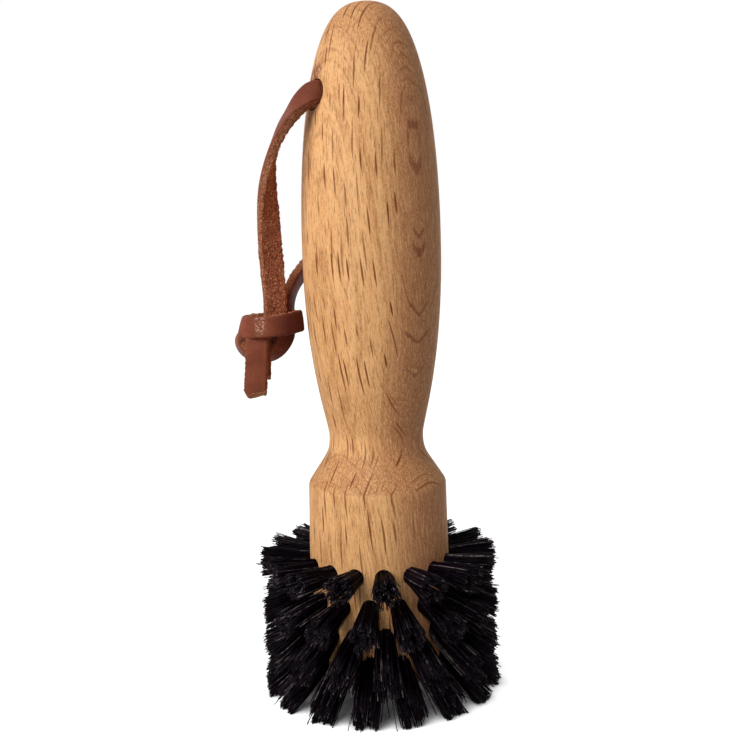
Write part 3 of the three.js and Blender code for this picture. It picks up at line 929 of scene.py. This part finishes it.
FRONT_ROUTE = [
    (0, 0, 0, -0.457, 0.791, -0.407), (-5.6, -3.25, 0, -0.078, 0.135, -0.988),
    (-10.66, -7.54, 0.35, 0.2, -0.25, -0.95), (-11.85, -8.33, 0.3, 0.25, -0.32, -0.91),
    (-13.5, -8.87, -0.3, 0.4, -0.5, -0.77), (-15.55, -8.7, -1.95, 0.47, -0.7, -0.54),
    (-17.75, -8.6, -4.5, 0.38, -0.89, -0.25), (-19.75, -8.75, -7.3, 0.29, -0.95, -0.14),
    (-21.75, -8.8, -11.1, 0.14, -0.99, -0.05), (-23.2, -8.5, -15.2, -0.02, -1, 0),
    (-24, -7.9, -19.5, -0.3, -0.95, 0), (-24.4, -7, -23.95, -0.56, -0.83, 0),
    (-24.4, -6, -28.65, -0.78, -0.62, 0), (-24.4, -5, -33.35, -0.86, -0.52, 0),
    (-24.3, -4, -38.05, -0.87, -0.5, 0), (-24.1, -3.5, -42.95, -0.88, -0.47, 0),
    (-23.9, -3.2, -46.85, -0.9, -0.44, 0), (-23.9, -3.2, -49.65, -0.9, -0.44, 0),
    (-24, -3.4, -54.4, -0.95, -0.3, 0),
]
REAR_ROUTE = [
    (0, 0, 0, -0.457, 0.791, -0.407), (5.6, 3.25, 0, -0.419, 0.726, 0.545),
    (11.26, 6.5, 0, 0, 0, 1), (12.3, 7.15, 0, 0, 0, 1),
    (13, 8.3, -0.15, -0.02, 0.05, 1), (13.1, 10.2, -0.41, -0.16, 0.35, 0.92),
    (11.75, 12.15, -1.24, -0.45, 0.45, 0.77), (10.25, 13.7, -3.12, -0.61, 0.46, 0.64),
    (8.75, 15.2, -5.9, -0.71, 0.42, 0.56), (6.85, 16.5, -9.5, -0.78, 0.33, 0.53),
    (4.55, 17.55, -13.6, -0.83, 0.21, 0.52), (1.95, 18.3, -18.1, -0.84, 0.09, 0.53),
    (-0.8, 18.6, -22.4, -0.82, -0.04, 0.57), (-3.9, 18.4, -26.5, -0.73, -0.15, 0.66),
    (-7.8, 17.35, -30.1, -0.6, -0.33, 0.72), (-11.5, 15.35, -33.7, -0.38, -0.57, 0.72),
    (-14.7, 12.6, -37.4, -0.12, -0.73, 0.67), (-17.2, 9.3, -40.7, 0.06, -0.77, 0.63),
    (-19.05, 6, -43.2, 0.04, -0.75, 0.66), (-20.3, 3.2, -45.85, -0.05, -0.77, 0.63),
    (-21, 1, -48.6, -0.2, -0.85, 0.5), (-21.3, -0.6, -51.5, -0.4, -0.85, 0.35),
]
LOOP_ROUTE = [
    (-31, -0.6, -54.95, 0.28, -0.96, 0), (-32.9, -0.6, -57.55, 0.28, -0.96, 0.1),
    (-32, -0.6, -59.95, 0.25, -0.93, 0.25), (-29.9, -0.6, -61.3, 0.1, -0.92, 0.4),
    (-27.5, -0.6, -61.6, 0, -0.9, 0.44), (-25.2, -0.6, -60.85, -0.35, -0.85, 0.4),
    (-23.4, -0.6, -59.2, -0.6, -0.76, 0.25), (-22.2, -0.6, -56.95, -0.74, -0.67, 0),
    (-21.9, -0.6, -54.55, -0.74, -0.67, 0),
]
LONG_TAIL_ROUTE = [
    (-28.2, -4.6, -54.85, *RIGHT), (-28.4, -5.4, -59.35, *RIGHT),
    (-28.75, -5.5, -64.85, *RIGHT), (-29.2, -5.5, -70.35, *RIGHT),
]
SHORT_TAIL_ROUTE = [
    (-28, -3, -54.85, *RIGHT), (-28.15, -3.1, -60.35, *RIGHT),
    (-28.35, -3.1, -66.3, *RIGHT),
]
CORE_ROUTE = [
    (-23.9, 1.2, -53.6, *RIGHT), (-24.4, 1.2, -56.6, *RIGHT),
    (-25.2, 1.0, -59.1, *RIGHT),
]

# Cut ends: how far the strap reaches at places across it, from -1 to 1
LONG_TAIL_CUT = [
    (-1, -0.7), (-0.88, 0.1), (-0.72, 0.65), (-0.55, 0.95), (-0.35, 0.8), (0.1, 0.35), (0.5, 0.05),
    (0.85, -0.15), (1, -0.45),
]
SHORT_TAIL_CUT = [(-1, -0.5), (1, 0.5)]

# Band of the knot, a loop seen from above: to the right, to the back, and its lower edge's flare
KNOT_BAND = np.array((-24.95, -2.4, -BAND_DROP))
BAND_RISE = math.radians(5)
BAND_LEAN = math.radians(4)
BAND_WIDTH = 0.93
BAND_LOOP = [
    (6.7, 0.7, 0), (6.3, -0.8, 0), (5.2, -2.1, 0), (3.6, -3.15, 0), (1.6, -3.85, 0), (-0.6, -4.2, 0.02),
    (-2.7, -4.0, 0.06), (-4.6, -3.2, 0.14), (-6, -1.9, 0.28), (-6.7, -0.5, 0.38), (-6.7, 1.0, 0.34),
    (-5.9, 2.3, 0.2), (-4.2, 3.2, 0.06), (-1.5, 3.5, 0), (2, 3.4, 0), (4.6, 2.8, 0), (6.1, 1.9, 0),
]

# Kinds of faces, in the order of the strap's materials
GRAIN, FLESH, EDGE, CUT = 0, 1, 2, 3


def band_route():
    """Places and across directions round the knot's band, tilted as it lies."""
    tilt = np.array(Matrix.Rotation(-BAND_RISE, 3, "Y") @ Matrix.Rotation(BAND_LEAN, 3, "X"))
    route = []
    for right, back, flare in BAND_LOOP:
        out = np.array((right, back, 0)) / math.hypot(right, back)
        across = np.array(UP) - flare * out
        route.append([*(KNOT_BAND + tilt @ (right, back, 0)), *(tilt @ across)])
    return route


def smooth_line(route, closed):
    """Places and across directions at even steps along a smooth curve through a route's points."""
    knots = np.array(route, float)
    if closed:
        knots = np.vstack([knots[-1], knots, knots[:2]])
    else:
        knots = np.vstack([2 * knots[0] - knots[1], knots, 2 * knots[-1] - knots[-2]])
    share = np.linspace(0, 1, ROUTE_STEPS, endpoint=False)[:, None]
    stretches = []
    for before, start, end, after in zip(knots, knots[1:], knots[2:], knots[3:]):
        leave, arrive = (end - before) / 2, (after - start) / 2
        bend = 3 * (end - start) - 2 * leave - arrive
        close = 2 * (start - end) + leave + arrive
        stretches.append(start + leave * share + bend * share ** 2 + close * share ** 3)
    line = np.vstack([*stretches, knots[-2]])
    along = np.concatenate([[0], np.cumsum(np.linalg.norm(np.diff(line[:, :3], axis=0), axis=1))])
    even = np.linspace(0, along[-1], math.ceil(along[-1] / STRAP_STEP) + 1)
    line = np.column_stack([np.interp(even, along, column) for column in line.T])
    if closed:
        line = line[:-1]
    return line[:, :3], line[:, 3:]


def strap_frame(route, grain_side, closed):
    """Places along a strap, and its directions along, across and towards its grain side there."""
    places, across = smooth_line(route, closed)
    if closed:
        tangents = np.roll(places, -1, axis=0) - np.roll(places, 1, axis=0)
    else:
        tangents = np.gradient(places, axis=0)
    tangents = unit(tangents)
    across = unit(across - (across * tangents).sum(1)[:, None] * tangents)
    return places, tangents, across, np.cross(tangents, across) * grain_side


def strap_section():
    """Corners of the strap's section, across and towards the grain side, the way out of it at each,
    and the kind of face after each."""
    half, thick = STRAP_WIDTH / 2, STRAP_THICKNESS / 2
    flat_half, round_start = half - GRAIN_ROUND, thick - GRAIN_ROUND
    corners, kinds = [], []

    def add(points, kind):
        corners.extend(points)
        kinds.extend([kind] * len(points))

    edge = np.linspace(-thick + FLESH_ROUND, round_start, EDGE_CORNERS)
    add([(half, b) for b in edge[:-1]], EDGE)
    turns = np.radians(ROUND_ANGLES)
    arc = [(flat_half + GRAIN_ROUND * math.cos(a), round_start + GRAIN_ROUND * math.sin(a)) for a in turns]
    add(arc[:-1], GRAIN)
    face = np.linspace(flat_half, -flat_half, FACE_CORNERS)
    add([(a, thick + GRAIN_DOME * (1 - (a / flat_half) ** 2)) for a in face], GRAIN)
    add([(-a, b) for a, b in reversed(arc[:-1])], GRAIN)
    kinds[-1] = EDGE
    add([(-half, b) for b in edge[-2::-1]], EDGE)
    kinds[-1] = FLESH
    face = np.linspace(-half + FLESH_ROUND, half - FLESH_ROUND, FACE_CORNERS)
    add([(a, -thick) for a in face], FLESH)
    section = np.array(corners)
    turn = np.roll(section, -1, axis=0) - np.roll(section, 1, axis=0)
    return section, unit(np.column_stack((turn[:, 1], -turn[:, 0]))), np.array(kinds)


def ragged(rings, count, amount):
    """Small uneven steps, a little smoothed along the strap."""
    rough = rng.normal(size=(rings + 2, count))
    before, here, after = RAGGED_WEIGHTS
    return amount * (before * rough[:-2] + here * rough[1:-1] + after * rough[2:]) / RAGGED_LEVEL


def fibres(points, normals, tangents, count):
    """Thin spikes standing off the rough sides: points and faces."""
    chosen = rng.integers(0, len(points), count)
    lean = normals[chosen] * rng.uniform(*FIBRE_RISE, (count, 1))
    lean = lean + tangents[chosen] * rng.normal(0, FIBRE_LEAN, (count, 1))
    lean = unit(lean + rng.normal(0, FIBRE_SCATTER, (count, 3)))
    first = unit(np.cross(lean, rng.normal(size=(count, 3))))
    second = np.cross(lean, first)
    base = points[chosen] - FIBRE_SUNK * lean
    turns = np.radians(FIBRE_ANGLES)
    feet = [base + FIBRE_RADIUS * (first * math.cos(a) + second * math.sin(a)) for a in turns]
    tip = base + lean * rng.gamma(*FIBRE_LENGTH_GAMMA, (count, 1))
    made = np.stack([*feet, tip], axis=1).reshape(-1, 3)
    faces = []
    for corner in range(0, len(made), 4):
        a, b, c, d = range(corner, corner + 4)
        faces += [(a, c, b), (a, b, d), (b, c, d), (c, a, d)]
    return made, faces


def cut_end(section, tangents, cut):
    """Shifts of a strap's points that cut its end, with the grain side trimmed back as a knife does."""
    rings = len(tangents)
    left = (rings - 1 - np.arange(rings)) * STRAP_STEP
    weight = np.clip(1 - left / CUT_REACH, 0, 1) ** 2
    slide = np.interp(section[:, 0] * 2 / STRAP_WIDTH, *zip(*cut))
    slide = slide + ragged(1, len(section), CUT_RAGGED_STEP)[0]
    slide -= CUT_BEVEL * section[:, 1] * 2 / STRAP_THICKNESS
    return tangents[:, None] * (weight[:, None] * slide)[..., None]


def strap_faces(rings, kinds, closed, flip):
    """Faces of a strap's skin, with its two ends unless it is closed, and the kind of each face."""
    count = len(kinds)
    faces = ring_faces(rings, count, closed)
    face_kinds = [*kinds] * (len(faces) // count)
    if not closed:
        faces += [tuple(reversed(range(count))), tuple(range((rings - 1) * count, rings * count))]
        face_kinds += [CUT, CUT]
    return faces if flip else [face[::-1] for face in faces], face_kinds


def strip(
    name, route, grain_side, materials,
    closed=False, cut=None, width_share=1.0, fibres_per_mm=14, pressed=None,
):
    """Strap along a route, with a smooth grain side, a rough flesh side and cut edges. Where it is
    pressed into the bore it is wider, as far as the first length along it and no more after the second."""
    places, tangents, across, grain = strap_frame(route, grain_side, closed)
    section, outward, kinds = strap_section()
    rings, count = len(places), len(section)
    rough_side = (kinds != GRAIN) | (np.roll(kinds, 1) != GRAIN)
    shift = ragged(rings, count, RAGGED_STEP) * rough_side
    along = np.arange(rings) * STRAP_STEP
    width = width_share + WAVE_DEPTH * np.sin(along / WAVE_LENGTH + rng.uniform(*WAVE_STARTS))
    if pressed:
        width += PRESSED_WIDTH * np.interp(along, pressed, (1, 0))
    offsets = section * np.column_stack((width, np.ones(rings)))[:, None, :] + outward * shift[..., None]
    normals = across[:, None] * outward[:, 0, None] + grain[:, None] * outward[:, 1, None]
    points = places[:, None] + across[:, None] * offsets[..., :1] + grain[:, None] * offsets[..., 1:]
    if cut:
        points += cut_end(section, tangents, cut)
    points = points.reshape(-1, 3)
    faces, face_kinds = strap_faces(rings, kinds, closed, grain_side < 0)
    loose = np.flatnonzero(np.tile(rough_side, rings))
    fuzz, fuzz_faces = fibres(
        points[loose], normals.reshape(-1, 3)[loose], np.repeat(tangents, count, axis=0)[loose],
        int(rings * STRAP_STEP * fibres_per_mm),
    )
    faces += [tuple(len(points) + corner for corner in face) for face in fuzz_faces]
    face_kinds += [EDGE] * len(fuzz_faces)
    lift = (0, 0, bore_height)
    item = new_object(name, np.vstack([points, fuzz]) + lift, faces, materials, face_kinds)
    item.data.set_sharp_from_angle(angle=math.radians(60))
    return item, (places + lift) * MM


# Stage, in metres and degrees

CAMERA_PLACE = (-0.00163, -0.240, 0.1072)
CAMERA_TILT = 6.4
CAMERA_ROLL = -1.5
LIGHT_AIM = (0, 0, 0.09)
LIGHT_DISTANCE = 0.9
LIGHT_SIZE = 0.8
WHITE = (1, 1, 1, 1)
WORLD_STRENGTH = (0.19, 1.0)
FLOOR_HALF = 4000
FLOOR_DARK = (0.44, 0.44, 0.44, 1)
FLOOR_PALE = (0.48, 0.48, 0.48, 1)
LIT_SIDE = (-0.5, -0.2, 0.84)
SHADOW_REACH = 0.018
FLOOR_GLOW = (0.18, 0.64, 1.7)
FLOOR_GLOW_SHARE = 0.6


def camera():
    data = bpy.data.cameras.new("camera")
    data.sensor_width = 36.0
    data.lens = 47.54
    tilt = Matrix.Rotation(math.radians(90 - CAMERA_TILT), 4, "X")
    roll = Matrix.Rotation(math.radians(CAMERA_ROLL), 4, "Z")
    bpy.context.scene.camera = linked("camera", data, Matrix.Translation(CAMERA_PLACE) @ tilt @ roll)


def area_light(name, azimuth, elevation, power, gleams=True):
    data = bpy.data.lights.new(name, "AREA")
    data.shape = "DISK"
    data.size = LIGHT_SIZE
    data.energy = power
    turn = Matrix.Rotation(math.radians(azimuth), 4, "Z")
    tilt = Matrix.Rotation(math.radians(90 - elevation), 4, "X")
    away = Matrix.Translation((0, 0, LIGHT_DISTANCE))
    item = linked(name, data, Matrix.Translation(LIGHT_AIM) @ turn @ tilt @ away)
    item.visible_glossy = gleams


def shown_rays(nodes):
    """1 for rays that show the background: from the camera, and through glass or off gloss."""
    path = nodes.node("LightPath")
    shown = nodes.math("MAXIMUM", path.outputs["Is Camera Ray"], path.outputs["Is Glossy Ray"])
    return nodes.math("MAXIMUM", shown, path.outputs["Is Transmission Ray"])


def world():
    nodes = Nodes(bpy.data.worlds.new("world"))
    bpy.context.scene.world = nodes.owner
    strength = nodes.spread(shown_rays(nodes), *WORLD_STRENGTH)
    nodes.fill(nodes.tree.nodes["Background"], {"Color": WHITE, "Strength": strength})


def floor():
    """White floor that keeps the lamps' soft shadow beside and under the brush, with painted shadow where
    its glow dims by occlusion looked for towards the lit side.
    """
    nodes = new_material("floor")
    grey = nodes.noise(nodes.place(), scale=30.0, detail=3)
    nodes.finish(Base_Color=nodes.mix(grey, FLOOR_DARK, FLOOR_PALE), Roughness=0.9, Specular_IOR_Level=0.05)
    # Painted shadow: the glow for shown rays dims where occlusion towards the lit side is high
    inputs = {"Distance": SHADOW_REACH, "Normal": nodes.vector(*LIT_SIDE)}
    openness = nodes.node("AmbientOcclusion", inputs, samples=16).outputs["AO"]
    glow = nodes.node("Emission", {"Color": WHITE, "Strength": nodes.step(openness, *FLOOR_GLOW)})
    share = nodes.times(shown_rays(nodes), FLOOR_GLOW_SHARE)
    shine = nodes.node("MixShader", {0: share, 1: nodes.surface().outputs[0], 2: glow.outputs[0]})
    nodes.fill(nodes.tree.nodes["Material Output"], {0: shine.outputs[0]})
    half = FLOOR_HALF
    corners = [(-half, -half, 0), (half, -half, 0), (half, half, 0), (-half, half, 0)]
    new_object("floor", corners, [(0, 1, 2, 3)], [nodes.owner])


# The brush

def dress(item, body, slot, *nodes):
    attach(item, body)
    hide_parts(*nodes)


camera()
leather = [
    leather_grain(),
    leather_fibres("leather_flesh", FLESH_BROWN, FLESH_DARK, FLESH_PALE),
    leather_fibres("leather_edge", EDGE_BROWN, EDGE_DARK, FLESH_PALE),
    # The cut ends' material carries painted light as well as their paler colour
    leather_fibres("leather_cut_pale_painted_light", CUT_PALE_AND_PAINTED_LIGHT, EDGE_BROWN, FLESH_PALE),
]
front, front_path = strip("strap_front", FRONT_ROUTE, 1, leather, pressed=PRESSED_FRONT)
rear, rear_path = strip("strap_rear", REAR_ROUTE, -1, leather, pressed=PRESSED_REAR)
knot_strips = [
    strip("knot_band", band_route(), -1, leather, closed=True, width_share=BAND_WIDTH, fibres_per_mm=12),
    strip("knot_loop", LOOP_ROUTE, 1, leather, fibres_per_mm=8),
    strip("knot_long_tail", LONG_TAIL_ROUTE, 1, leather, cut=LONG_TAIL_CUT, fibres_per_mm=8),
    strip("knot_short_tail", SHORT_TAIL_ROUTE, 1, leather, cut=SHORT_TAIL_CUT, fibres_per_mm=8),
    strip("knot_core", CORE_ROUTE, -1, leather, fibres_per_mm=8),
]
knot = [piece for piece, _ in knot_strips]
dress(front, "strap", "leather", "strap_front_strand", "strap_bore_run")
dress(rear, "strap", "leather", "strap_rear_strand")
for piece in knot:
    dress(piece, "strap", "leather", "strap_knot")

dress(handle(beech()), "brush", "beech", "handle")
bristles = [bristle(), bristle_cut()]
for row in range(ROW_COUNT):
    dress(tuft_row(row, bristles), "brush", "bristle", f"bristle_row_{row + 1}")
wire_finish = steel()
for row in range(ROW_COUNT):
    wire = frame["nodes"][f"anchor_wire_{row + 1}"]
    wire.data.materials.clear()
    wire.data.materials.append(wire_finish)

floor()
area_light("key", azimuth=-42, elevation=34, power=8.6)
area_light("back", azimuth=168, elevation=10, power=2.4, gleams=False)
world()
bpy.context.scene.view_settings.view_transform = "Standard"
